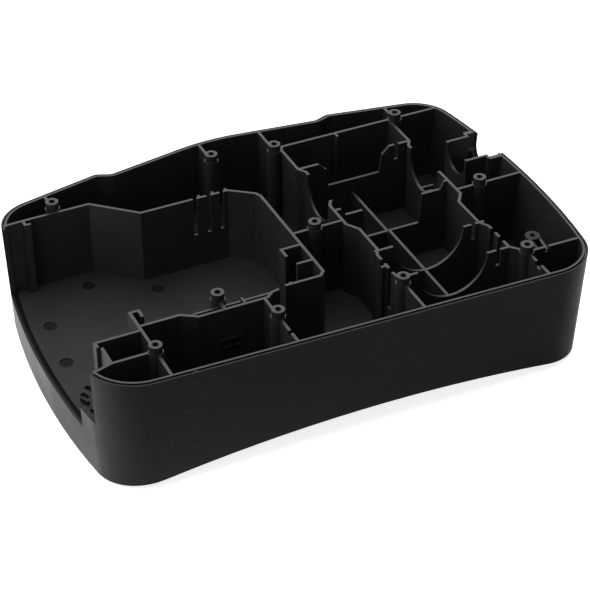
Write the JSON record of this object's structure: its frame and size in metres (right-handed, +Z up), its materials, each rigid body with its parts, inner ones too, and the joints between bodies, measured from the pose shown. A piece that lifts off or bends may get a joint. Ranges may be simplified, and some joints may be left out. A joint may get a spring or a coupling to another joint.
{
  "type": "injection moulded plastic housing",
  "caption": "Shallow black plastic base housing with an open-ended bay, ribbed motor compartment, cable port and proud screw bosses.",
  "frame": {"origin": "middle of the box round the base, at its lowest point", "axes": "+X along the housing from the open end to the cable port, +Y from the front wall to the back wall, +Z up, square to the rim"},
  "size_m": [0.2831, 0.1998, 0.071],
  "materials": {
    "housing": "fine satin texture"
  },
  "bodies": {
    "root": {"base_housing": "housing"}
  },
  "joints": []
}
